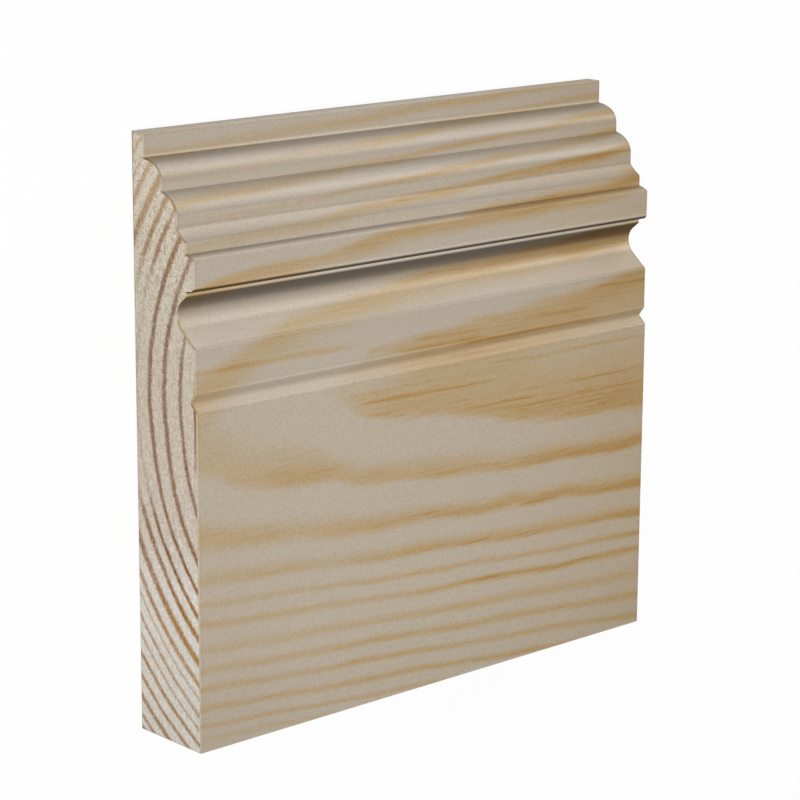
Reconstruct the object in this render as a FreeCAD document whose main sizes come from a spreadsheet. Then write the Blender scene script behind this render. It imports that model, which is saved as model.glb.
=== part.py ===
import FreeCAD, Part
import math
import os
import re

import Sketcher

# Moulded skirting board: one short length of planed softwood, lying on its back.
# X runs along the board, +Y to its top edge and +Z out of the moulded face.
# The origin is the centre of the back face. Millimetres and degrees.

os.makedirs("parts", exist_ok=True)
doc = FreeCAD.newDocument("SkirtingBoard")

sizes = {
    "length": 175,  # end to end
    "height": 169,  # edge to edge: the plain face takes what the moulding leaves
    "topThickness": 5.1,  # the board behind the top band, where it is thinnest
    # members from the top edge down: height along the face, rise out of it
    "topBandHeight": 6.8,
    "upperOvoloHeight": 5.7,
    "upperOvoloRise": 7.56,
    "upperOvoloRadius": 5,  # of the rounder part beside the flat
    "upperOvoloTurn": 4.57,  # height of that rounder part
    "upperFlatHeight": 2.4,
    "lowerOvoloHeight": 6.1,
    "lowerOvoloRise": 6.3,
    "lowerOvoloRadius": 5.3,
    "lowerOvoloTurn": 4.4,
    "lowerFlatHeight": 3.2,
    "hollowHeight": 3.1,
    "hollowRise": 3.9,
    "hollowRadius": 18,
    "stepFlatHeight": 3.1,
    "shoulderHeight": 1.2,  # rounded top of the square fillet
    "shoulderRise": 3.29,
    "shoulderRadius": 7.45,
    "filletHeight": 7.9,
    "filletChamfer": 0.75,
    "filletDraft": 0.35,  # lean of the fillet's underside
    "quirkDepth": 3.1,
    "quirkHeight": 1.3,
    "coveDepth": 7.2,  # below the band
    "coveRadius": 4.75,
    "coveAngle": 51,  # slope of the cheeks that run into the cove
    "bandHeight": 12.3,
    "bandSetback": 0.55,  # the plain face stands this proud of the band
    "grooveDepth": 2.5,  # V groove between the band and the plain face
    "grooveUpperRun": 2.55,
    "grooveLowerRun": 2.45,
}
sheet = doc.addObject("Spreadsheet::Sheet", "Sizes")
for row, (name, number) in enumerate(sizes.items(), start=1):
    sheet.set(f"A{row}", name)
    sheet.set(f"B{row}", str(number))
    sheet.setAlias(f"B{row}", name)
doc.recompute()

# The section is a chain of corners round the end of the board, from the back of the top edge.
# Each member gives its run towards the bottom edge, its rise out of the face, and its curve.
coveTurn = "coveRadius * (1 - cos(coveAngle * 1 deg))"
lipFall = f"coveDepth - quirkDepth - {coveTurn}"
cheekRise = f"coveDepth - {coveTurn}"
upperTurn = "upperOvoloRadius - sqrt(upperOvoloRadius ^ 2 - upperOvoloTurn ^ 2)"
lowerTurn = "lowerOvoloRadius - sqrt(lowerOvoloRadius ^ 2 - lowerOvoloTurn ^ 2)"
members = [
    ("top edge", "0", "topThickness", None),
    ("top band", "topBandHeight", "0", None),
    ("upper ovolo nose", "upperOvoloHeight - upperOvoloTurn", f"upperOvoloRise - ({upperTurn})", "blend"),
    ("upper ovolo turn", "upperOvoloTurn", upperTurn, "upperOvoloRadius"),
    ("upper flat", "upperFlatHeight", "0", None),
    ("lower ovolo nose", "lowerOvoloHeight - lowerOvoloTurn", f"lowerOvoloRise - ({lowerTurn})", "blend"),
    ("lower ovolo turn", "lowerOvoloTurn", lowerTurn, "lowerOvoloRadius"),
    ("lower flat", "lowerFlatHeight", "0", None),
    ("hollow", "hollowHeight", "hollowRise", "-hollowRadius"),
    ("step flat", "stepFlatHeight", "0", None),
    ("fillet shoulder", "shoulderHeight", "shoulderRise", "shoulderRadius"),
    ("fillet face", "filletHeight", "0", None),
    ("fillet chamfer", "filletChamfer", "-filletChamfer", None),
    ("fillet underside", "filletDraft", "-(quirkDepth - filletChamfer)", None),
    ("quirk", "quirkHeight", "0", None),
    ("cove lip", f"({lipFall}) / tan(coveAngle * 1 deg)", f"-({lipFall})", None),
    ("cove", "2 * coveRadius * sin(coveAngle * 1 deg)", "0", "-coveRadius"),
    ("cove cheek", f"({cheekRise}) / tan(coveAngle * 1 deg)", cheekRise, None),
    ("band", "bandHeight", "0", None),
    ("groove upper side", "grooveUpperRun", "-(grooveDepth - bandSetback)", None),
    ("groove lower side", "grooveLowerRun", "grooveDepth", None),
]


def inSheet(expression):
    return re.sub(r"\b(" + "|".join(sizes) + r")\b", r"Sizes.\1", expression)


def valueOf(expression):
    return float(sheet.evalExpression(expression))


# Arc on a chord: it bulges out of the board for a positive radius, into it for a negative one
def arcBetween(start, end, radius):
    chord = end - start
    side = FreeCAD.Vector(-chord.y, chord.x, 0).normalize()
    offset = math.sqrt(radius**2 - (chord.Length / 2) ** 2)
    centre = start + chord * 0.5 + side * math.copysign(offset, radius)
    first, last = (start, end) if radius > 0 else (end, start)
    angles = [math.atan2(point.y - centre.y, point.x - centre.x) for point in (first, last)]
    circle = Part.Circle(centre, FreeCAD.Vector(0, 0, 1), abs(radius))
    return Part.ArcOfCircle(circle, *angles)


# Radius of the arc from start to end that leaves end along the tangent
def blendRadius(start, end, tangent):
    chord = start - end
    return chord.Length**2 / (2 * abs(chord.x * tangent.y - chord.y * tangent.x))


body = doc.addObject("PartDesign::Body", "Board")
body.Label = "skirting_board"
endPlane = next(feature for feature in body.Origin.OriginFeatures if feature.Role == "YZ_Plane")
section = body.newObject("Sketcher::SketchObject", "Section")
section.AttachmentSupport = [(endPlane, "")]
section.MapMode = "FlatFace"

corners = [FreeCAD.Vector(valueOf("height") / 2, 0, 0)]
for _, run, rise, _ in members:
    corners.append(corners[-1] + FreeCAD.Vector(-valueOf(run), valueOf(rise), 0))
corners.append(FreeCAD.Vector(-corners[0].x, corners[-1].y, 0))
corners.append(FreeCAD.Vector(-corners[0].x, 0, 0))

ends = []  # geometry number with its start and end point numbers, as the chain runs
for index, (start, end) in enumerate(zip(corners, corners[1:] + corners[:1])):
    curve = members[index][3] if index < len(members) else None
    if curve is None:
        geometry = Part.LineSegment(start, end)
    elif curve == "blend":
        turn = arcBetween(end, corners[index + 2], valueOf(members[index + 1][3]))
        geometry = arcBetween(start, end, blendRadius(start, end, turn.tangent(turn.FirstParameter)[0]))
    else:
        geometry = arcBetween(start, end, valueOf(curve))
    number = section.addGeometry(geometry)
    ends.append((number, 2, 1) if curve and curve.startswith("-") else (number, 1, 2))


def dimension(kind, expression, *where):
    number = section.addConstraint(Sketcher.Constraint(kind, *where, valueOf(expression)))
    section.setExpression(f"Constraints[{number}]", inSheet(expression))


for index, (number, _, end) in enumerate(ends):
    follower, start, _ = ends[(index + 1) % len(ends)]
    blends = index < len(members) and members[index][3] == "blend"
    joint = "Tangent" if blends else "Coincident"
    section.addConstraint(Sketcher.Constraint(joint, number, end, follower, start))

for (_, run, rise, curve), (number, start, end) in zip(members, ends):
    if run == "0":
        section.addConstraint(Sketcher.Constraint("Vertical", number))
    else:
        dimension("DistanceX", run, number, end, number, start)
    if rise == "0":
        section.addConstraint(Sketcher.Constraint("Horizontal", number, start, number, end))
    elif rise.startswith("-"):
        dimension("DistanceY", rise[1:], number, end, number, start)
    else:
        dimension("DistanceY", rise, number, start, number, end)
    if curve and curve != "blend":
        dimension("Radius", curve.lstrip("-"), number)

plainFace, bottomEdge, back = [number for number, _, _ in ends[len(members):]]
section.addConstraint(Sketcher.Constraint("Horizontal", plainFace))
section.addConstraint(Sketcher.Constraint("Vertical", bottomEdge))
section.addConstraint(Sketcher.Constraint("PointOnObject", back, 1, -1))
section.addConstraint(Sketcher.Constraint("Horizontal", back))
dimension("DistanceX", "height", back, 1, back, 2)
dimension("DistanceX", "height / 2", -1, 1, back, 2)

board = body.newObject("PartDesign::Pad", "Length")
board.Profile = section
board.SideType = "Symmetric"
board.setExpression("Length", "Sizes.length")
body.Tip = board
doc.recompute()

for item in doc.Objects:
    if {"Invalid", "Error"} & set(item.State):
        raise RuntimeError(f"{item.Name} failed: {item.State}")
if section.solve() != 0 or section.FullyConstrained is False:
    raise RuntimeError("the section isn't fully constrained")
if body.Shape.isNull() or not body.Shape.isValid() or len(body.Shape.Solids) != 1:
    raise RuntimeError("skirting_board isn't one valid solid")

box = body.Shape.BoundBox
print(f"{body.Label} {box.XLength:.2f} x {box.YLength:.2f} x {box.ZLength:.2f} mm")
print(f"volume {body.Shape.Volume / 1000:.1f} cm3")
body.Shape.exportStep(f"parts/{body.Label}.step")
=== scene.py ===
import math

import bpy
import numpy as np
from mathutils import Matrix, Vector


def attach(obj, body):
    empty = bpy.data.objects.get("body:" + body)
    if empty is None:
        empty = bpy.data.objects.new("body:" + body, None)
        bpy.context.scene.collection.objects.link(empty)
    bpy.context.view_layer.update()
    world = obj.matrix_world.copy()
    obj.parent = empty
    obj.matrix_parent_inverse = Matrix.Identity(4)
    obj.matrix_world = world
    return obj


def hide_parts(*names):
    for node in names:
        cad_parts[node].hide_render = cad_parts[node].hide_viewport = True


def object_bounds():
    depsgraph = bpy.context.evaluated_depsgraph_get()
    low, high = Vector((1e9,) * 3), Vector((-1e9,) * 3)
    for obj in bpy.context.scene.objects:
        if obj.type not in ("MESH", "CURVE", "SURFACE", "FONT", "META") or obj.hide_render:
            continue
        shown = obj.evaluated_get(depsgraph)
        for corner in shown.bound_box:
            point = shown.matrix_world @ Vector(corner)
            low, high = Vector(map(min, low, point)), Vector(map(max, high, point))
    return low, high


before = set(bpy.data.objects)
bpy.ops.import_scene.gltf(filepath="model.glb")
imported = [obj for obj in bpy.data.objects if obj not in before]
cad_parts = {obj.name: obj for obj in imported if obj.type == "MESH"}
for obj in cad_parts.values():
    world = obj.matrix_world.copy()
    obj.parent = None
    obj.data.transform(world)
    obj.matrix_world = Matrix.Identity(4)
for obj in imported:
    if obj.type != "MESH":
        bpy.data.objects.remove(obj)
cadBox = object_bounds()
mm = 0.001
boardLength, boardHeight, boardThick = (round((far - near) / mm, 2) for near, far in zip(*cadBox))
print("frame loaded:", sorted(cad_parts), boardLength, "x", boardHeight, "x", boardThick, "mm")


# Sockets that take part in Python sums, and one way to add any other node

class Wire:
    def __init__(self, shader, socket):
        self.shader = shader
        self.socket = socket

    def sum(self, operation, *values):
        return self.shader.add("Math", {"operation": operation}, dict(enumerate(values)))

    def __add__(self, other):
        return self.sum("ADD", self, other)

    def __radd__(self, other):
        return self.sum("ADD", other, self)

    def __sub__(self, other):
        return self.sum("SUBTRACT", self, other)

    def __rsub__(self, other):
        return self.sum("SUBTRACT", other, self)

    def __mul__(self, other):
        return self.sum("MULTIPLY", self, other)

    def __rmul__(self, other):
        return self.sum("MULTIPLY", other, self)

    def __truediv__(self, other):
        return self.sum("DIVIDE", self, other)

    def __pow__(self, other):
        return self.sum("POWER", self, other)


class Shader:
    def __init__(self, name):
        self.material = bpy.data.materials.new(name)
        self.material.use_nodes = True
        self.tree = self.material.node_tree
        self.tree.nodes.clear()

    def add(self, kind, settings=None, sockets=None, out=0):
        node = self.tree.nodes.new("ShaderNode" + kind)
        for key, value in (settings or {}).items():
            if key == "stops":
                elements = node.color_ramp.elements
                while len(elements) < len(value):
                    elements.new(0.5)
                for element, (place, colour) in zip(elements, value):
                    element.position = place
                    element.color = (*colour, 1)
            elif key == "points":
                curve = node.mapping.curves[0]
                while len(curve.points) < len(value):
                    curve.points.new(0.5, 0.5)
                for point, place in zip(curve.points, value):
                    point.location = place
                    point.handle_type = "AUTO_CLAMPED"
                node.mapping.update()
            else:
                setattr(node, key, value)
        for key, value in (sockets or {}).items():
            if isinstance(value, Wire):
                self.tree.links.new(value.socket, node.inputs[key])
            else:
                node.inputs[key].default_value = value
        return Wire(self, node.outputs[out]) if len(node.outputs) else node

    def smooth(self, value, low, high, start=0, end=1):
        return self.add("MapRange", {"interpolation_type": "SMOOTHSTEP"},
                        {"Value": value, "From Min": low, "From Max": high,
                         "To Min": start, "To Max": end})

    def size(self, value):
        return self.add("Math", {"operation": "ABSOLUTE"}, {0: value})

    def noise(self, place, stretch, scale, detail, roughness, distortion=0.0):
        stretched = self.add("VectorMath", {"operation": "MULTIPLY"}, {0: place, 1: stretch})
        return self.add("TexNoise", None, {"Vector": stretched, "Scale": scale, "Detail": detail,
                                           "Roughness": roughness, "Distortion": distortion})

    def blend(self, factor, first, second):
        return self.add("Mix", {"data_type": "RGBA", "clamp_factor": True},
                        {0: factor, 6: first, 7: second}, out=2)


def paint(r, g, b):
    # a colour read in 0 to 255 steps, as the shader wants it
    return tuple(((v / 255 + 0.055) / 1.055) ** 2.4 if v > 10 else v / 3294 for v in (r, g, b))


def paint4(r, g, b):
    return (*paint(r, g, b), 1)


# The moulded section, in mm: length and height come from the part, its members are the part's own

section = {
    "length": boardLength,
    "height": boardHeight,
    "topThickness": 5.1,
    "topBandHeight": 6.8,
    "upperOvolo": {"height": 5.7, "rise": 7.56, "radius": 5.0, "turn": 4.57},
    "upperFlatHeight": 2.4,
    "lowerOvolo": {"height": 6.1, "rise": 6.3, "radius": 5.3, "turn": 4.4},
    "lowerFlatHeight": 3.2,
    "hollow": {"height": 3.1, "rise": 3.9, "radius": 18.0},
    "stepFlatHeight": 3.1,
    "shoulder": {"height": 1.2, "rise": 3.29, "radius": 7.45},
    "filletHeight": 7.9,
    "filletChamfer": 0.75,
    "filletDraft": 0.35,
    "quirkDepth": 3.1,
    "quirkHeight": 1.3,
    "cove": {"depth": 7.2, "radius": 4.75, "angle": 51.0},
    "bandHeight": 12.3,
    "bandSetback": 0.55,
    "groove": {"depth": 2.5, "upperRun": 2.55, "lowerRun": 2.45},
    "arrisEase": 0.22,      # planed arrises are very slightly rounded
    "endEase": 0.28,        # so are the edges of the cut ends
    "leastTurn": 0.3,       # a corner that turns less, in radians, is no arris
    "sharpFrom": 33.0,      # and one that turns more than this, in degrees, is shaded sharp
    "upturned": 0.25,       # least share of a normal that faces the top edge, for the painted dark line on upturned faces at the cut ends
    "leaning": 0.15,        # and for the curves that lean either way
    "flush": 0.3,           # a point this near a flat side lies on it
    "thinsAbove": 110.0,    # where the board begins to thin towards its top edge
    # painted light and shade down the moulding: height, then a factor on the wood's colour, far below 1
    # in the quirk and the top of the cove where shadow falls, above 1 where the curves catch the light;
    # where it is darkest the sheen goes too
    "nooks": [(169, 0.8), (168, 0.91), (164, 0.91), (163.3, 0.85), (162.6, 1.26), (162.1, 0.68),
              (161.4, 0.83), (160.9, 1.0), (160.0, 1.11), (158.6, 1.05), (157.6, 0.89), (156.8, 0.86),
              (156.2, 0.9), (154.8, 0.93), (154.2, 0.92), (153.7, 0.82), (152.2, 1.06), (151.0, 1.1),
              (150.0, 1.04), (149.3, 0.94), (148.7, 0.83), (148.1, 0.92), (146, 0.9), (145.1, 0.79),
              (144.6, 1.22), (143.6, 1.18), (142.7, 1.08), (141.9, 0.91), (139.0, 0.96), (138.4, 0.71),
              (138.0, 1.02), (137.7, 1.3), (137.4, 0.98), (136.8, 0.95), (131.0, 0.96), (130.4, 0.98),
              (130.0, 1.25), (129.75, 0.95), (129.5, 0.24), (129.2, 0.15), (128.4, 0.1), (128.25, 1.1),
              (127.9, 1.4), (127.6, 1.45), (127.3, 0.6), (127.1, 0.265), (126.0, 0.26), (124.6, 0.295),
              (123.9, 0.36), (123.4, 0.45), (122.8, 0.64), (122.2, 0.78), (121.2, 0.96), (120.5, 1.12),
              (119.6, 1.27), (118.6, 1.35), (117.6, 1.29), (114.0, 1.35), (113.5, 1.05), (113.1, 0.94),
              (105.5, 0.97), (101.9, 0.95), (101.2, 1.1), (100.7, 0.95), (99.0, 0.89), (98.6, 1.08),
              (96.3, 1.19), (95.9, 0.93), (95.2, 0.985), (25, 0.985), (1, 0.93), (0, 0.84)],
    # painted light and shade at the cut ends, a pale line and dark lines along the arrises: distance from
    # the end, factor, or share of brown
    "flatWear": [(0, 1.0), (0.3, 1.1), (0.5, 1.02), (0.75, 0.9), (1.1, 1.0)],
    "slopeWear": [(0, 0.75), (0.3, 0.7), (0.5, 0.94), (0.8, 1.0)],
    "backWear": [(0, 0.55), (0.4, 1.0)],
    "brownWear": [(0, 0.55), (0.3, 0.5), (0.8, 0.0)],
    # painted shade along the board: curved faces above a height, and the foot of the cove, darken towards
    # the right end
    "curvesAbove": 130.0,
    "curvesShadedRight": [(85, 0), (120, 0.06)],
    "coveFoot": (112.0, 119.0),
    "coveFootShadedRight": [(140, 0), (165, 0.06)],
    "plainSpacing": 0.9,    # rows of points on the plain face, on the mouldings and on the back
    "mouldSpacing": 0.42,
    "mouldedAbove": 94.0,
    "backSpacing": 1.9,
    "columnSpacing": 1.0,
    "endColumns": (0.45, 0.65, 0.9, 1.2),   # closer columns of points beside each end
}


def bendPoints(start, end, radius, steps=14):
    # points of an arc between two section points; a negative radius is a hollow
    (x0, y0), (x1, y1) = start, end
    dx, dy = x1 - x0, y1 - y0
    chord = math.hypot(dx, dy)
    rise = math.sqrt(radius * radius - chord * chord / 4)
    side = 1 if radius > 0 else -1
    centreX = (x0 + x1) / 2 - dy / chord * rise * side
    centreY = (y0 + y1) / 2 + dx / chord * rise * side
    first = math.atan2(y0 - centreY, x0 - centreX)
    last = math.atan2(y1 - centreY, x1 - centreX)
    while radius > 0 and last < first:
        last += 2 * math.pi
    while radius < 0 and last > first:
        last -= 2 * math.pi
    turn = [first + (last - first) * k / steps for k in range(1, steps + 1)]
    return [(centreX + abs(radius) * math.cos(a), centreY + abs(radius) * math.sin(a)) for a in turn]


def faceLine():
    # (height, thickness) down the moulded face, from the top edge to the bottom edge
    s = section
    line = [(s["height"], s["topThickness"])]

    def run(down, out, radius=None):
        height, thick = line[-1]
        end = (height - down, thick + out)
        line.extend(bendPoints(line[-1], end, radius) if radius else [end])

    def ovolo(o):
        sink = o["radius"] - math.sqrt(o["radius"] ** 2 - o["turn"] ** 2)
        noseDown, noseOut = o["height"] - o["turn"], o["rise"] - sink
        slope = math.asin(o["turn"] / o["radius"])
        across = abs(noseOut * math.cos(slope) - noseDown * math.sin(slope))
        noseRadius = (noseDown ** 2 + noseOut ** 2) / (2 * across)
        run(noseDown, noseOut, noseRadius)
        run(o["turn"], sink, o["radius"])

    run(s["topBandHeight"], 0)
    ovolo(s["upperOvolo"])
    run(s["upperFlatHeight"], 0)
    ovolo(s["lowerOvolo"])
    run(s["lowerFlatHeight"], 0)
    run(s["hollow"]["height"], s["hollow"]["rise"], -s["hollow"]["radius"])
    run(s["stepFlatHeight"], 0)
    run(s["shoulder"]["height"], s["shoulder"]["rise"], s["shoulder"]["radius"])
    run(s["filletHeight"], 0)
    run(s["filletChamfer"], -s["filletChamfer"])
    run(s["filletDraft"], s["filletChamfer"] - s["quirkDepth"])
    run(s["quirkHeight"], 0)
    cove = s["cove"]
    slant = math.radians(cove["angle"])
    dish = cove["radius"] * (1 - math.cos(slant))
    lip = cove["depth"] - s["quirkDepth"] - dish
    cheek = cove["depth"] - dish
    run(lip / math.tan(slant), -lip)
    run(2 * cove["radius"] * math.sin(slant), 0, -cove["radius"])
    run(cheek / math.tan(slant), cheek)
    run(s["bandHeight"], 0)
    run(s["groove"]["upperRun"], s["bandSetback"] - s["groove"]["depth"])
    run(s["groove"]["lowerRun"], s["groove"]["depth"])
    line.append((0.0, line[-1][1]))
    return line


def easeCorners(line, s):
    # trims each outward arris of a closed line by a small bend
    done = []
    count = len(line)
    for k in range(count):
        before, here, after = (np.array(line[(k + j) % count]) for j in (-1, 0, 1))
        arrive, leave = here - before, after - here
        lengthIn, lengthOut = np.hypot(*arrive), np.hypot(*leave)
        cross = (arrive[0] * leave[1] - arrive[1] * leave[0]) / (lengthIn * lengthOut)
        turn = math.asin(max(-1, min(1, cross)))
        if arrive @ leave < 0:
            turn = math.copysign(math.pi - abs(turn), turn)
        if turn < s["leastTurn"]:
            done.append(tuple(here))
            continue
        back = s["arrisEase"] * math.tan(turn / 2) + 0.05
        back = min(back, 0.3 * lengthIn, 0.3 * lengthOut)   # never more than a third of either side
        a, b = here - arrive / lengthIn * back, here + leave / lengthOut * back
        for t in (0, 0.25, 0.5, 0.75, 1):
            done.append(tuple((1 - t) ** 2 * a + 2 * t * (1 - t) * here + t * t * b))
    return done


def divide(line, s):
    # adds points where a closed line's runs are long
    done = []
    for k, (height, thick) in enumerate(line):
        nextHeight, nextThick = line[(k + 1) % len(line)]
        moulded = min(height, nextHeight) > s["mouldedAbove"]
        spacing = s["mouldSpacing"] if moulded else s["plainSpacing"]
        if max(thick, nextThick) < s["flush"] or max(height, nextHeight) < s["flush"]:
            spacing = s["backSpacing"]
        parts = max(1, math.ceil(math.hypot(nextHeight - height, nextThick - thick) / spacing))
        for j in range(parts):
            share = j / parts
            done.append((height + (nextHeight - height) * share, thick + (nextThick - thick) * share))
    return done


# The figure of the wood on the moulded face: heights of each year ring's dark line, in mm,
# at the left end, the middle and the right end, or by place along the board

givenAt = [0, section["length"] / 2, section["length"]]
figure = {
    "outerLow": [(49.0, 41.4, 35.7), (42.6, 34.8, 29.0), (36.9, 29.3, 24.3), (29.4, 22.3, 16.0),
                 (23.5, 16.5, 9.1), (18.3, 10.8, 2.6), (12.6, 5.0, -3.8), (7.6, 0.0, -9.0),
                 (4.5, -3.8, -13.0)],
    "outerHigh": [(140.1, 144.5, 150.3), (145.1, 150.0, 154.1), (151.0, 155.0, 159.9),
                  (157.4, 160.3, 164.8), (162.4, 166.2, 170.0), (169.4, 172.8, 176.0)],
    "thirdLow": [(0, 61.0), (7, 59.5), (14, 58.2), (28, 57.3), (35, 56.6), (42, 55.0), (55, 53.7),
                 (65, 52.3), (82, 52.2), (91, 51.0), (112, 49.6), (119, 49.9), (127, 48.2), (140, 48.2),
                 (147, 47.0), (161, 46.1), (175, 45.4)],
    "thirdHigh": [(0, 128.9), (10, 131.0), (20, 131.9), (32, 132.2), (45, 133.0), (55, 134.4),
                  (66, 136.4), (78, 136.8), (95, 137.1), (102, 137.9), (130, 138.2), (150, 138.3),
                  (163, 139.3), (175, 141.7)],
    "innerLow": [(0, 81.8), (5, 80.6), (12, 77.0), (20, 74.2), (30, 72.0), (40, 71.5), (50, 70.1),
                 (56, 67.8), (67, 66.8), (81, 64.8), (100, 62.9), (122, 60.4), (131, 60.2), (140, 60.6),
                 (151, 59.8), (175, 59.3)],
    "innerHigh": [(0, 102.0), (8, 104.6), (18, 109.8), (28, 113.2), (36, 115.0), (50, 116.2),
                  (60, 116.8), (70, 117.6), (78, 119.5), (86, 121.0), (100, 121.8), (117, 122.5),
                  (130, 123.4), (150, 124.4), (158, 125.4), (175, 126.2)],
    "patchLow": [(52, 92.0), (58, 87.6), (68, 85.4), (80, 84.0), (90, 82.6), (98, 80.6), (106, 79.0),
                 (118, 75.9), (132, 74.4), (145, 73.0), (175, 71.2)],
    "patchHigh": [(52, 94.0), (56, 98.0), (60, 101.4), (64, 103.4), (72, 103.8), (80, 104.2),
                  (100, 105.6), (110, 106.0), (120, 106.6), (130, 107.2), (140, 107.9), (150, 108.9),
                  (162, 110.8), (175, 112.4)],
    "middle": [(0, 91.5), (30, 94.5), (52, 92.4), (100, 94.0), (175, 92.0)],
    "middleRing": [(0, 1.93), (20, 1.6), (44, 1.25), (55, 1.04), (62, 0.85), (75, 0.72), (100, 0.6),
                   (118, 0.5), (132, 0.28), (175, 0.1)],
    "fartherRing": 5.6,     # spacing of the rings past those that the face shows
    "heartDepth": (52.0, 45.5),     # how far the heart lies in front of the face, left and right
    "heartHeight": 92.5,
    "patchFrom": 46.5,      # the pale patch round the middle starts here along the board
    # slight waves of every line: reach, run along and up the board, start
    "waves": [(0.2, 9.1, 7, 1.3), (0.1, 4.3, -5, 0)],
    # each ring outwards: how dark its late wood is, how far it fades inwards and outwards (shares of
    # a ring), each either one number, or at the left end, middle and right end, or by place along
    "bandsLow": [
        ([(46, 0.04), (52, 0.36), (58, 0.5), (70, 0.62), (90, 0.66), (112, 0.62), (150, 0.66),
          (175, 0.6)], [(60, 0.55), (100, 0.85), (130, 0.6)], (0.085, 0.085, 0.12)),
        ([(0, 0.44), (22, 0.52), (32, 0.72), (46, 0.66), (57, 0.57), (67, 0.68), (74, 0.6), (88, 0.72),
          (112, 0.62), (131, 0.82), (150, 0.76), (175, 0.76)], (0.15, 0.22, 0.22), (0.13, 0.1, 0.1)),
        ([(0, 0.54), (21, 0.62), (35, 0.52), (60, 0.67), (84, 0.76), (105, 0.78), (133, 0.84),
          (140, 0.72), (175, 0.74)], 0.2, (0.25, 0.13, 0.12)),
        ([(0, 0.4), (10, 0.46), (30, 0.54), (45, 0.42), (60, 0.6), (80, 0.72), (110, 0.72),
          (130, 0.68), (145, 0.56), (160, 0.66), (175, 0.72)], (0.22, 0.24, 0.22), (0.18, 0.14, 0.14)),
        ([(0, 0.42), (35, 0.38), (60, 0.58), (90, 0.64), (115, 0.6), (150, 0.56), (175, 0.66)], 0.15,
         0.14),
        ([(0, 0.5), (35, 0.52), (60, 0.48), (85, 0.66), (110, 0.84), (140, 0.8), (160, 0.66),
          (175, 0.64)], 0.16, 0.15),
        ([(0, 0.32), (35, 0.42), (85, 0.58), (120, 0.5), (175, 0.34)], 0.2, 0.18),
        ([(0, 0.4), (35, 0.46), (60, 0.62), (85, 0.7), (120, 0.6), (175, 0.48)], 0.2, 0.17),
        ([(0, 0.54), (35, 0.48), (60, 0.66), (85, 0.68), (110, 0.54), (175, 0.46)], 0.17, 0.16),
        ((0.5, 0.72, 0.52), 0.18, 0.16),
        ((0.48, 0.58, 0.5), 0.18, 0.16),
        ((0.3, 0.4, 0.4), 0.18, 0.16),
    ],
    "bandsHigh": [
        ([(46, 0.04), (52, 0.28), (60, 0.26), (68, 0.35), (74, 0.48), (82, 0.64), (130, 0.64),
          (150, 0.64), (175, 0.6)], [(60, 0.55), (100, 0.85), (130, 0.62), (175, 0.46)], 0.1),
        ([(0, 0.54), (12, 0.58), (30, 0.62), (44, 0.56), (52, 0.66), (62, 0.66), (74, 0.56),
          (88, 0.72), (110, 0.78), (120, 0.82), (140, 0.8), (158, 0.92), (175, 0.98)],
         [(0, 0.15), (25, 0.14), (45, 0.14), (65, 0.2), (92, 0.3), (140, 0.3), (160, 0.36),
          (175, 0.36)], 0.1),
        ([(0, 0.76), (32, 0.76), (42, 0.58), (52, 0.67), (62, 0.88), (90, 0.82), (110, 0.92),
          (127, 0.96), (150, 0.82), (175, 0.84)],
         [(0, 0.25), (12, 0.22), (36, 0.26), (50, 0.16), (100, 0.18), (175, 0.16)], (0.12, 0.12, 0.22)),
        ([(0, 0.42), (35, 0.52), (60, 0.66), (110, 0.72), (135, 0.86), (150, 0.84), (175, 0.86)], 0.2,
         0.16),
        ([(0, 0.2), (35, 0.28), (60, 0.42), (80, 0.68), (115, 0.68), (135, 0.5), (175, 0.66)], 0.16,
         0.16),
        ([(0, 0.62), (35, 0.66), (60, 0.52), (85, 0.56), (110, 0.76), (135, 0.44), (160, 0.58),
          (175, 0.64)], 0.18, 0.17),
        ([(0, 0.27), (35, 0.32), (60, 0.41), (85, 0.68), (110, 0.54), (135, 0.36), (175, 0.42)], 0.19,
         0.16),
        ([(0, 0.5), (35, 0.45), (60, 0.58), (85, 0.64), (110, 0.54), (175, 0.48)], 0.22, 0.22),
        ((0.38, 0.5, 0.5), 0.18, 0.16),
        (0.45, 0.18, 0.16),
    ],
}


def curveAt(points, x):
    # a smooth line through a few points, without overshoot
    px, py = (np.array(v, float) for v in zip(*points))
    slope = np.diff(py) / np.diff(px)
    inside = np.where(slope[1:] * slope[:-1] > 0, (slope[1:] + slope[:-1]) / 2, 0)
    tangent = np.concatenate([slope[:1], inside, slope[-1:]])
    k = np.clip(np.searchsorted(px, x, "right") - 1, 0, len(px) - 2)
    width = px[k + 1] - px[k]
    t = np.clip((x - px[k]) / width, 0, 1)
    return (py[k] * (1 + 2 * t) * (1 - t) ** 2 + tangent[k] * width * t * (1 - t) ** 2
            + py[k + 1] * t * t * (3 - 2 * t) + tangent[k + 1] * width * t * t * (t - 1))


def valueAt(given, x):
    if isinstance(given, list):
        return float(np.interp(x, *zip(*given)))
    return float(np.interp(x, givenAt, given)) if isinstance(given, tuple) else given


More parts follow.
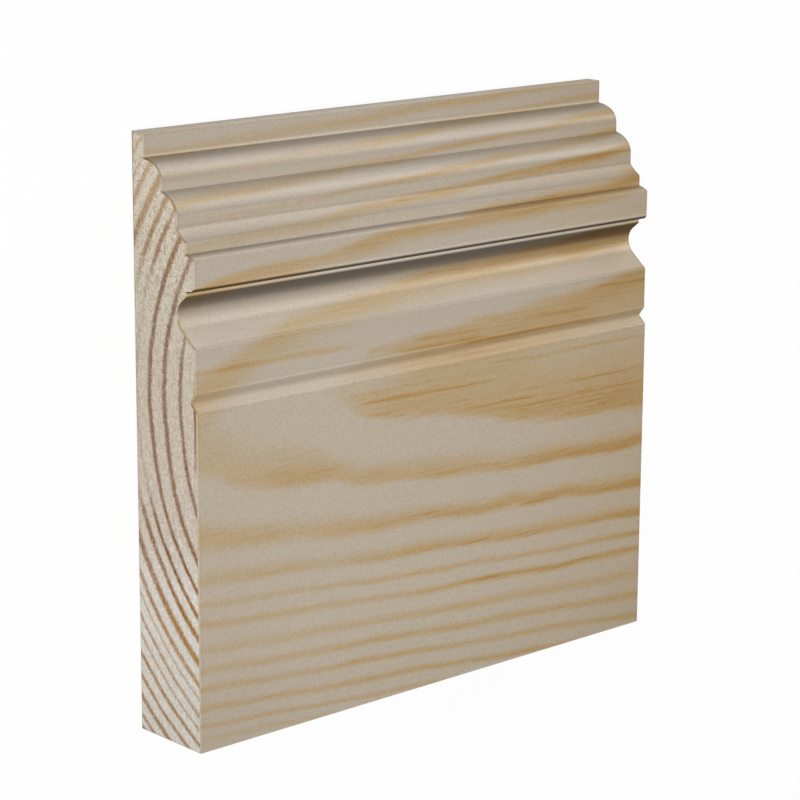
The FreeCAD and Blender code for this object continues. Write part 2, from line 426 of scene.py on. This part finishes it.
def ringsAt(x, heights, depths):
    # ring number of points at one place along the board, for their height and depth behind the face
    f = figure
    along = x / section["length"]
    middle = float(curveAt(f["middle"], x))
    knots = [(middle, float(curveAt(f["middleRing"], x)))]
    for side, step, more in (("Low", -1, 9), ("High", 1, 13)):
        lines = [f["inner" + side], f["third" + side]]
        lines += [list(zip(givenAt, heightsOfLine)) for heightsOfLine in f["outer" + side]]
        ringHeights = [float(curveAt(line, x)) for line in lines]
        ringHeights += [ringHeights[-1] + step * f["fartherRing"] * k for k in range(1, more)]
        knots += [(height, 2.0 + k) for k, height in enumerate(ringHeights)]
        if x > f["patchFrom"]:
            knots.append((float(curveAt(f["patch" + side], x)), 1.0))
    knots.sort()
    heart = f["heartDepth"][0] + (f["heartDepth"][1] - f["heartDepth"][0]) * along
    heights = heights + sum(reach * np.sin(x / run + heights / up + start)
                            for reach, run, up, start in f["waves"])
    away = heights - f["heartHeight"]
    reach = np.sqrt(np.maximum(away ** 2 + depths * (2 * heart + depths), 0))
    onFace = f["heartHeight"] + np.sign(away) * reach
    numbers = np.interp(onFace, [k[0] for k in knots], [k[1] for k in knots])
    nearest = np.maximum(np.floor(numbers + 0.5), 1).astype(int) - 1
    bands = []
    for side in ("bandsLow", "bandsHigh"):
        rows = np.array([[valueAt(given, x) for given in band] for band in f[side]])
        bands.append(rows[np.minimum(nearest, len(rows) - 1)])
    return numbers, np.where((onFace > middle)[:, None], bands[1], bands[0])


def buildBoard():
    s = section
    face = faceLine()
    loop = face + [(0.0, 0.0), (s["height"], 0.0)]
    loop = divide(easeCorners(loop, s), s)
    points = np.array(loop)
    heights, thick = points[:, 0], points[:, 1]
    fullThick = thick.max()
    # how far behind the moulded face a point lies, for the figure: nothing on the face itself
    depths = np.zeros(len(points))
    ease = np.clip((heights - s["thinsAbove"]) / (s["height"] - s["thinsAbove"]), 0, 1)
    backDepth = fullThick + (s["topThickness"] - fullThick) * ease * ease * (3 - 2 * ease)
    onBack = thick < s["flush"]
    depths[onBack] = backDepth[onBack]
    onBottom = (heights < s["flush"]) & ~onBack
    depths[onBottom] = fullThick - thick[onBottom]
    onTop = (heights > s["height"] - s["flush"]) & ~onBack
    depths[onTop] = s["topThickness"] - thick[onTop]
    # painted light and shade down the moulding, by height
    paintedShadeHeights, paintedShadeFactors = zip(*reversed(s["nooks"]))
    shades = np.where(onBack | onBottom | onTop, 1.0, np.interp(heights, paintedShadeHeights, paintedShadeFactors))
    # inward normals of the loop, for the eased edges of the ends
    ahead, behind = np.roll(points, -1, 0), np.roll(points, 1, 0)
    along = ahead - behind
    along /= np.maximum(np.hypot(along[:, 0], along[:, 1]), 1e-9)[:, None]
    inward = np.stack([-along[:, 1], along[:, 0]], 1)
    middle = points.mean(0)
    if ((points + inward - middle) ** 2).sum() > ((points - inward - middle) ** 2).sum():
        inward = -inward
    r = s["endEase"]
    # columns along the board: distance from the end, and how far the outline is drawn in there
    edge = [(0.0, r), (0.07 * r, 0.63 * r), (0.3 * r, 0.29 * r), (0.62 * r, 0.07 * r), (r, 0.0)]
    edge += [(x, 0.0) for x in s["endColumns"]]
    inner = np.linspace(r, s["length"] - r, int((s["length"] - 2 * r) / s["columnSpacing"]) + 1)[1:-1]
    clear = s["endColumns"][-1] + 0.2
    inner = inner[(inner > clear) & (inner < s["length"] - clear)]
    stations = edge + [(x, 0.0) for x in inner]
    stations += [(s["length"] - x, back) for x, back in reversed(edge)]
    onFace = ~(onBack | onBottom | onTop)
    faceUp = onFace & (inward[:, 0] < -s["upturned"])
    curved = onFace & (np.abs(inward[:, 0]) > s["leaning"]) & (heights > s["curvesAbove"])
    coveFoot = onFace & (heights > s["coveFoot"][0]) & (heights < s["coveFoot"][1])
    verts, rings, bands, light, brown = [], [], [], [], []
    for x, back in stations:
        place = points + inward * back
        numbers, picked = ringsAt(x, heights, depths)
        rings.append(numbers)
        bands.append(picked)
        fromEnd = min(x, s["length"] - x)
        # painted highlight and shade lines along the arrises of the cut ends, and the brown tone of those
        # dark lines
        arrisPaint = {side: valueAt(s[side + "Wear"], fromEnd) for side in ("flat", "slope", "back", "brown")}
        edgeLight = np.where(faceUp, arrisPaint["slope"], np.where(onBack, arrisPaint["back"], arrisPaint["flat"]))
        # painted shade: curved faces and the foot of the cove darker towards the right end
        dull = curved * valueAt(s["curvesShadedRight"], x) + coveFoot * valueAt(s["coveFootShadedRight"], x)
        light.append(shades * edgeLight * (1 - dull))
        brown.append((faceUp | onBack) * arrisPaint["brown"])
        acrossX = np.full(len(place), x - s["length"] / 2)
        verts.append(np.stack([acrossX, place[:, 0] - s["height"] / 2, place[:, 1]], 1))
    count = len(points)
    faces = []
    for c in range(len(stations) - 1):
        a, b = c * count, (c + 1) * count
        faces += [(a + k, a + (k + 1) % count, b + (k + 1) % count, b + k) for k in range(count)]
    faces.append(tuple(reversed(range(count))))
    faces.append(tuple(range((len(stations) - 1) * count, len(stations) * count)))
    mesh = bpy.data.meshes.new("skirtingBoard")
    mesh.from_pydata((np.concatenate(verts) * mm).tolist(), [], faces)
    bands = np.concatenate(bands)
    values = {"ringNumber": np.concatenate(rings), "ringStrength": bands[:, 0], "ringInner": bands[:, 1],
              "ringOuter": bands[:, 2], "nookShade": np.concatenate(light),
              "edgeBrown": np.concatenate(brown)}
    for title, value in values.items():
        attribute = mesh.attributes.new(title, "FLOAT", "POINT")
        attribute.data.foreach_set("value", value.astype(np.float32))
    mesh.validate()
    board = bpy.data.objects.new("skirting_board_moulded", mesh)
    bpy.context.collection.objects.link(board)
    mesh.polygons.foreach_set("use_smooth", [True] * len(mesh.polygons))
    mesh.set_sharp_from_angle(angle=math.radians(s["sharpFrom"]))
    print("board:", len(mesh.polygons), "faces,", len(stations), "stations of", count, "points")
    return board


# Planed pine on the long faces

planed = {
    # dark wood from none to full: share, colour
    "tones": [(0.0, (184, 172, 155)), (0.3, (182, 166, 143)), (0.58, (181, 159, 126)),
              (0.8, (179, 152, 111)), (1.0, (174, 141, 92)), (1.25, (167, 129, 74))],
    "roughness": 0.42,
    # noises: stretch along, up and out of the board, then scale, detail and roughness
    "fibre": ((0.04, 1.0, 1.0), 0.9, 4, 0.62),      # fine fibres that fray the ring lines
    "sway": ((0.035, 0.12, 0.12), 1.0, 2, 0.5),     # slow wandering of the lines
    "streaky": ((0.03, 1.6, 1.6), 0.8, 4, 0.65),    # long streaks within the late wood
    "dashes": ((0.09, 1.7, 1.7), 1.0, 2, 0.6),      # short dark dashes
    "speck": ((0.7, 1.0, 1.0), 2.3, 3, 0.8),        # pores and cut fibre ends
    "cloud": ((0.02, 0.08, 0.08), 1.0, 2, 0.5),     # broad paler and darker parts
    "planer": {"Scale": 0.26, "Distortion": 1.2, "Detail": 2.0, "Detail Scale": 0.6},   # cutter marks
    # ramps: from, to, then what they give at both, or else 0 and 1
    "ringJump": (0.04, 0.12),               # keeps clear of the jump from ring 1 to ring 2
    "fray": (1.1, 1.9, 0.42, 0.2),          # how far fibres shift a line, by ring number
    "coveTop": (122.5, 125, 0, 0.3),        # darker late wood in the top of the cove, by height
    "coveTopEnd": (130, 130.6, 1, 0),
    "streakiness": (0.25, 0.7, 0.78, 1.2),
    "dashed": (0.57, 0.72, 0, 0.3),         # how dark the dashes are, and in how dark wood they come
    "dashedWood": (0.35, 0.6),
    "streakGrain": (0.3, 0.6, 0.5, 1.2),
    "richerRight": (0.5, 0.95, 0.0, 0.2),   # more of the dark tone, by share of the length
    "richerEnd": (0.86, 1.0, 0, 0.07),
    "richerLeft": (0.25, 0, 0, 0.06),
    "richerLeftBelow": (60, 40),            # by height
    "richerBelow": (90, 118, 0.05, -0.02),
    "paintedFalloffMiddle": (0.2, 0.5, 0.015, -0.015),   # painted light falloff: lighter in the middle, darker at the ends
    "paintedFalloffRight": (0.8, 1, 0, 0.018),
    "paintedFalloffLeft": (0.3, 0, 0, 0.032),
    "paintedFalloffLeftBelow": (60, 0),
    "sheenless": (0.3, 0.6, 1.0),           # from this painted shade to that, no sheen to full
    "wander": 0.1,          # how far the sway shifts the ring lines, and the streaks in mm
    "streakWander": 2.4,
    "shades": {"plain": 0.62, "speck": 0.68, "planer": 0.018, "cloud": 0.02},
    "paintedShadeTint": (1.02, 1.05),   # painted shade warmth: green and blue fall faster than red where it is darker
    "relief": {"fibre": 0.6, "planer": 0.25, "speck": 0.35},
    "bump": {"Strength": 0.35, "Distance": 0.00005},
    # fine dark streaks: from, to along the board, height at each, half width and strength, in mm
    "streaks": [(-20, 60, 106.9, 106.5, 0.9, 0.55), (52, 112, 89.2, 88.0, 0.7, 0.36),
                (88, 150, 97.2, 96.8, 0.9, 0.2), (52, 66, 92.2, 91.9, 0.45, 0.26),
                (59, 71, 85.3, 84.9, 0.5, 0.34), (60, 76, 104.2, 103.6, 0.7, 0.2),
                (70, 108, 102.4, 102.0, 0.7, 0.26), (92, 160, 100.9, 100.6, 0.9, 0.56),
                (78, 108, 105.2, 104.2, 0.6, 0.22), (103, 185, 93.4, 92.4, 0.6, 0.4),
                (96, 130, 81.4, 80.8, 0.5, 0.3), (104, 185, 79.0, 77.8, 0.6, 0.2),
                (136, 185, 83.2, 82.6, 0.4, 0.3), (150, 185, 110.8, 110.4, 0.6, 0.34),
                (112, 168, 76.4, 75.4, 0.4, 0.24), (118, 152, 104.6, 104.2, 0.5, 0.24),
                (74, 136, 149.5, 150.0, 0.4, 0.3), (22, 62, 108.2, 107.4, 1.8, 0.2),
                (118, 210, 132.4, 132.8, 1.8, 0.13), (138, 212, 119.8, 119.6, 2.0, 0.3),
                (144, 208, 125.8, 125.8, 0.9, 0.6)],
}


def makePlaned():
    p = planed
    s = Shader("planedPine")
    place = s.add("VectorMath", {"operation": "SCALE"}, {0: s.add("TexCoord", out=3), "Scale": 1 / mm})
    alongPlace = s.add("SeparateXYZ", None, {0: place}) + section["length"] / 2
    heightPlace = s.add("SeparateXYZ", None, {0: place}, out=1) + section["height"] / 2
    along = alongPlace / section["length"]
    number, strength, innerHalf, outerHalf, paintedShade, edgeBrown = (
        s.add("Attribute", {"attribute_name": name}, out=2)
        for name in ("ringNumber", "ringStrength", "ringInner", "ringOuter", "nookShade", "edgeBrown"))
    fibre = s.noise(place, *p["fibre"]) - 0.5
    sway = s.noise(place, *p["sway"]) - 0.5
    streaky, dashes, speck, cloud = (
        s.noise(place, *p[name]) for name in ("streaky", "dashes", "speck", "cloud"))
    planer = s.add("TexWave", {"wave_type": "BANDS", "bands_direction": "X", "wave_profile": "SIN"},
                   {"Vector": place, **p["planer"]})

    # late wood, darkest on each ring's line and fading off to both sides
    nearest = s.add("Math", {"operation": "FLOOR"}, {0: number + 0.5})
    shifted = number + fibre * s.smooth(number, *p["fray"]) + sway * p["wander"]
    offset = shifted - s.add("Math", {"operation": "MAXIMUM"}, {0: nearest, 1: 1.0})
    late = s.smooth(offset, innerHalf * -2, 0) * s.smooth(offset, 0, outerHalf * 2, 1, 0)
    coveTop = s.smooth(heightPlace, *p["coveTop"]) * s.smooth(heightPlace, *p["coveTopEnd"])
    late = late * strength * s.smooth(s.size(number - 1.5), *p["ringJump"]) * (1 + coveTop)
    broken = s.smooth(dashes, *p["dashed"]) * s.smooth(late, *p["dashedWood"])
    late = late * s.smooth(streaky, *p["streakiness"]) + broken
    for start, end, first, last, half, dark in p["streaks"]:
        middle = (alongPlace - start) / (end - start)
        line = first + middle * (last - first) + sway * p["streakWander"]
        thin = s.smooth(s.size(heightPlace - line), 0, half * 1.6, 1, 0)
        reach = s.smooth(s.size(middle - 0.5), 0.3, 0.5, dark, 0)
        late = late + thin * reach * s.smooth(streaky, *p["streakGrain"])
    late = late + s.smooth(along, *p["richerRight"]) + s.smooth(heightPlace, *p["richerBelow"])
    late = late + edgeBrown + s.smooth(along, *p["richerEnd"])
    late = late + s.smooth(along, *p["richerLeft"]) * s.smooth(heightPlace, *p["richerLeftBelow"])
    fullest = p["tones"][-1][0]
    tones = [(at / fullest, paint(*tone)) for at, tone in p["tones"]]
    colour = s.add("ValToRGB", {"stops": tones}, {0: late / fullest})

    # then the fine speckle, and the painted light and shade, over it
    # painted light falloff along the board
    paintedFalloff = s.smooth(s.size(along - 0.5), *p["paintedFalloffMiddle"]) - s.smooth(along, *p["paintedFalloffRight"])
    paintedFalloff = paintedFalloff - s.smooth(along, *p["paintedFalloffLeft"]) * s.smooth(heightPlace, *p["paintedFalloffLeftBelow"])
    share = p["shades"]
    shade = share["plain"] + speck * share["speck"] + planer * share["planer"] + cloud * share["cloud"]
    # painted light and shade from the mesh attribute multiply the colour
    shade = paintedShade * (shade + paintedFalloff)
    # painted shade warmth: green and blue fall faster than red where the painted shade is darker
    green, blue = p["paintedShadeTint"]
    paintedShadeTint = s.add("CombineXYZ", None, {0: shade, 1: shade ** green, 2: shade ** blue})
    colour = s.add("VectorMath", {"operation": "MULTIPLY"}, {0: colour, 1: paintedShadeTint})
    high = p["relief"]
    relief = fibre * high["fibre"] + planer * high["planer"] + speck * high["speck"]
    bump = s.add("Bump", None, {"Height": relief, **p["bump"]})
    dull = s.smooth(paintedShade, *p["sheenless"], p["roughness"])
    surface = s.add("BsdfPrincipled", None, {"Base Color": colour, "Roughness": dull,
                                             "Specular IOR Level": 0.5, "Normal": bump})
    s.add("OutputMaterial", None, {"Surface": surface})
    return s.material


# Sawn end grain

sawn = {
    # up the board: height, then the colour of the dull ground, of the pale flecks and of the ring lines
    "ground": [(0, (194, 187, 174)), (30, (200, 193, 182)), (45, (203, 195, 184)),
               (60, (188, 174, 157)), (100, (187, 172, 152)), (120, (180, 163, 140)),
               (135, (175, 154, 125)), (169, (185, 166, 139))],
    "flecks": [(0, (220, 215, 206)), (30, (225, 222, 215)), (45, (229, 226, 220)),
               (60, (220, 212, 202)), (100, (214, 206, 193)), (120, (212, 204, 190)),
               (135, (217, 210, 195)), (169, (224, 218, 206))],
    "lines": [(0, (150, 117, 79)), (26, (163, 115, 46)), (38, (154, 102, 14)), (50, (133, 84, 18)),
              (58, (134, 92, 42)), (68, (140, 104, 74)), (115, (137, 104, 80)), (135, (139, 103, 73)),
              (150, (166, 128, 84)), (169, (178, 142, 98))],
    "heart": (98.7, 80.7),      # height and distance out of the back of the rings' centre at the left end
    "heartShift": (-2.3, -8.5),     # how it has moved at the right end, where the rings are wider too
    "widerRings": 0.045,
    # radius of each ring, its strength and its half width
    "rings": [(54.8, 0.6, 0.5), (61.1, 0.96, 0.8), (68.1, 1.0, 1.0), (74.5, 1.0, 0.95),
              (80.3, 1.0, 0.85), (84.9, 1.0, 1.0), (90.3, 0.96, 1.25), (95.5, 0.86, 0.9),
              (98.9, 0.54, 0.5), (102.7, 0.72, 0.65), (106.4, 0.58, 0.55), (110.3, 0.9, 0.75),
              (114.8, 0.94, 0.7), (119.3, 0.98, 0.9), (123.4, 0.96, 0.6), (126.1, 0.9, 0.55)],
    # where ring lines fade: between which radii it sets in, middle and half height, softness, share
    "fading": [(77, 78.5, 101, 26, 14, 0.76), (83.5, 84.5, 85, 10, 12, 0.3),
               (83.5, 84.5, 56, 10, 6, 0.16), (83.5, 84.5, 160, 25, 15, 0.16),
               (83.5, 82.5, 170, 20, 8, 0.42), (72, 71, 170, 36, 22, 0.2),
               (64.5, 63.5, 160, 46, 8, 0.25)],
    "grazing": (90.0, 11.5),    # where the innermost ring grazes the front arris: height and half length
    "grazingDepth": (25.1, 25.7, 0, 0.7),
    # noises, as for the planed wood; the last number of curly is how far it is distorted
    "sway": ((1, 1, 1), 0.09, 2, 0.5),
    "ragged": ((1, 1, 1), 1.3, 3, 0.75),            # frays the ring lines
    "curly": ((1.0, 0.8, 1.1), 0.75, 3, 0.7, 1.6),  # fibres torn by the saw
    "strokes": ((1.0, 0.4, 1.7), 1.1, 3, 0.7),      # and combed by it
    "cells": ((1, 1, 1), 2.2, 2, 0.7),
    "blotch": ((1.0, 0.35, 0.7), 0.4, 3, 0.6),
    "beads": ((1, 1, 1), 0.55, 3, 0.7),             # dark beads along the ring lines
    # ramps: from, to, then what they give at both, or else 0 and 1
    "drawnIn": (70, 82, 1.9, 0.4),          # how far the inner rings are drawn in, by radius
    "drawnInBelow": (58, 88, 1, 0),         # by height
    "raggedness": (40, 110, 1.1, 1.7),
    "curls": (0.0, 0.05, 0.16, 0.0),        # paler curls of fibre, high on the board only
    "curlsAbove": (100, 130),
    "flecked": (0.42, 0.61),
    "beaded": (0.52, 0.66, 0, 0.9),
    "blotched": (0.4, 0.6),
    "beadedAbove": (40, 64),
    "beadedWithin": (79, 84, 1, 0.25),      # by radius
    "worn": (0.36, 0.62, 1.3, 0.68),        # ring lines are darker where the flecks are fewer
    "backRimShade": (0.35, 0.9, 1, 0),           # painted shade: a browner rim along the back arris, by depth and height
    "backRimShadeUp": (110, 168, 0.1, 0.6),
    # and painted shade along the top arris, by height
    "topRimShade": (168.1, 168.6, 0, 0.4),
    "beadColour": (92, 70, 66),
    "rimShadeColour": (112, 88, 62),
    "reach": (50.0, 135.0),     # radii that the ring lines lie between
    # across a ring line: half widths from its middle, share of its strength
    "lineShape": [(-2.0, 0), (-0.75, 0.8), (0, 1), (0.7, 0.8), (1.7, 0)],
    # shares of the three noises in the flecks and in the worn places
    "fleckMix": {"curly": 0.35, "strokes": 0.3, "cells": 0.35},
    "wornMix": {"strokes": 0.3, "curly": 0.3, "cells": 0.4},
    "bump": {"Strength": 0.5, "Distance": 0.0002},
    "roughness": 0.75,
}


def makeSawn():
    p = sawn
    s = Shader("sawnEndGrain")
    place = s.add("VectorMath", {"operation": "SCALE"}, {0: s.add("TexCoord", out=3), "Scale": 1 / mm})
    height = s.add("SeparateXYZ", None, {0: place}, out=1) + section["height"] / 2
    out = s.add("SeparateXYZ", None, {0: place}, out=2)
    farEnd = s.smooth(s.add("SeparateXYZ", None, {0: place}), -5, 5)  # 0 at the left end, 1 at the right
    sway = s.noise(place, *p["sway"]) - 0.5
    ragged = s.noise(place, *p["ragged"]) - 0.5
    noises = {name: s.noise(place, *p[name]) for name in ("curly", "strokes", "cells", "blotch", "beads")}

    def mix(shares):
        return sum(noises[name] * share for name, share in shares.items())

    # rings about the heart of the tree
    rise = height - farEnd * p["heartShift"][0] - p["heart"][0]
    away = farEnd * p["heartShift"][1] + p["heart"][1] - out
    radius = (rise ** 2 + away ** 2) ** 0.5 * (1 - farEnd * p["widerRings"])
    radius = radius - s.smooth(height, *p["drawnInBelow"]) * s.smooth(radius, *p["drawnIn"])
    bent = radius + sway + ragged * s.smooth(height, *p["raggedness"])
    first, last = p["reach"]
    points = [(0, 0)]
    for middle, strength, half in p["rings"]:
        for across, share in p["lineShape"]:
            points.append(((middle + across * half - first) / (last - first), share * strength))
    points.append((1, 0))
    late = s.add("FloatCurve", {"points": points}, {"Value": (bent - first) / (last - first)})
    for nearer, past, middle, half, soft, share in p["fading"]:
        there = s.smooth(s.size(height - middle), half, half + soft, share, 0)
        late = late * (1 - s.smooth(radius, nearer, past) * there)
    middle, half = p["grazing"]
    grazing = s.smooth(s.size(height - middle), half - 3, half + 1, 1, 0)
    late = late + grazing * s.smooth(out + ragged * 0.8, *p["grazingDepth"]) * (1 - farEnd)

    # pale flecks on the dull ground, dark beads on the lines
    ground, flecks, lines = (
        s.add("ValToRGB", {"stops": [(v / section["height"], paint(*c)) for v, c in p[name]]},
              {0: height / section["height"]})
        for name in ("ground", "flecks", "lines"))
    curls = s.smooth(s.size(noises["curly"] - 0.5), *p["curls"]) * s.smooth(height, *p["curlsAbove"])
    pale = s.blend(s.smooth(mix(p["fleckMix"]) + curls, *p["flecked"]), ground, flecks)
    beaded = s.smooth(noises["beads"], *p["beaded"]) * s.smooth(noises["blotch"], *p["blotched"])
    beaded = beaded * s.smooth(height, *p["beadedAbove"]) * s.smooth(radius, *p["beadedWithin"])
    lines = s.blend(beaded, lines, paint4(*p["beadColour"]))
    worn = s.smooth(mix(p["wornMix"]), *p["worn"])
    colour = s.blend(late * worn, pale, lines)
    # painted shade: a darker brown rim along the back and top arrises of the end
    rimShade = s.smooth(out, *p["backRimShade"]) * s.smooth(height, *p["backRimShadeUp"])
    colour = s.blend(rimShade + s.smooth(height, *p["topRimShade"]), colour, paint4(*p["rimShadeColour"]))
    bump = s.add("Bump", None, {"Height": noises["curly"] + noises["cells"] * 0.5, **p["bump"]})
    surface = s.add("BsdfPrincipled", None, {"Base Color": colour, "Roughness": p["roughness"],
                                             "Specular IOR Level": 0.2, "Normal": bump})
    s.add("OutputMaterial", None, {"Surface": surface})
    return s.material


board = buildBoard()
board.data.materials.append(makePlaned())
board.data.materials.append(makeSawn())
for polygon in board.data.polygons[-2:]:
    polygon.material_index = 1
    polygon.use_smooth = False
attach(board, "root")
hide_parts("skirting_board")
print("board dressed")


# Floor, lamps and camera

studio = {
    "floorColour": (0.86, 0.86, 0.86, 1),
    "floorWidth": 12.0,
    "floorDrop": 0.0003,    # just clear of the board's back
    "floorWhite": 0.93,     # how far the floor goes to plain white for the camera
    "world": 0.12,
    "lamps": [
        {"name": "softLeft", "at": (-0.57, -0.08, 1.27), "size": 0.5, "power": 10.2},
        {"name": "lowLeft", "at": (-0.99, 0.0, 0.99), "size": 0.4, "power": 6.9},
        {"name": "sheenRight", "at": (1.1, 0.634, 0.592), "size": 0.4, "power": 4.2},
        {"name": "sheenTop", "at": (0.634, 1.1, 0.592), "size": 0.4, "power": 3.3},
    ],
    "lens": 123.38,
    "cameraAt": (-0.52359, 0.18844, 0.58574),
    "cameraRight": (0.740173, 0.005435, 0.672395),
    "cameraUp": (0.155623, 0.971433, -0.179162),
    "cameraBack": (-0.654161, 0.237251, 0.718182),
}


def makeStudio():
    s = Shader("paleFloor")
    plain = s.add("BsdfDiffuse", None, {"Color": studio["floorColour"]})
    white = s.add("Emission", None, {"Color": (1, 1, 1, 1), "Strength": 1.0})
    seen = s.add("LightPath")
    both = s.add("MixShader", None, {0: seen * studio["floorWhite"], 1: plain, 2: white})
    s.add("OutputMaterial", None, {"Surface": both})
    drop = -studio["floorDrop"]
    bpy.ops.mesh.primitive_plane_add(size=studio["floorWidth"], location=(0, 0, drop))
    floor = bpy.context.object
    floor.name = "paleFloor"
    floor.data.materials.append(s.material)
    for lamp in studio["lamps"]:
        light = bpy.data.lights.new(lamp["name"], "AREA")
        light.shape = "DISK"
        light.size = lamp["size"]
        light.energy = lamp["power"]
        holder = bpy.data.objects.new(lamp["name"], light)
        bpy.context.collection.objects.link(holder)
        holder.location = lamp["at"]
        holder.rotation_euler = (-Vector(lamp["at"])).to_track_quat("-Z", "Y").to_euler()
    world = bpy.data.worlds.new("studioWorld")
    bpy.context.scene.world = world
    world.use_nodes = True
    world.node_tree.nodes["Background"].inputs[0].default_value = (1, 1, 1, 1)
    world.node_tree.nodes["Background"].inputs[1].default_value = studio["world"]
    camera = bpy.data.objects.new("photoCamera", bpy.data.cameras.new("photoCamera"))
    bpy.context.collection.objects.link(camera)
    camera.data.lens = studio["lens"]
    camera.data.sensor_width = 36.0
    camera.data.clip_start = 0.02
    axes = Matrix((studio["cameraRight"], studio["cameraUp"], studio["cameraBack"])).transposed()
    camera.matrix_world = Matrix.Translation(studio["cameraAt"]) @ axes.to_4x4()
    bpy.context.scene.camera = camera


makeStudio()
bpy.context.scene.view_settings.view_transform = "Standard"
print("studio ready")
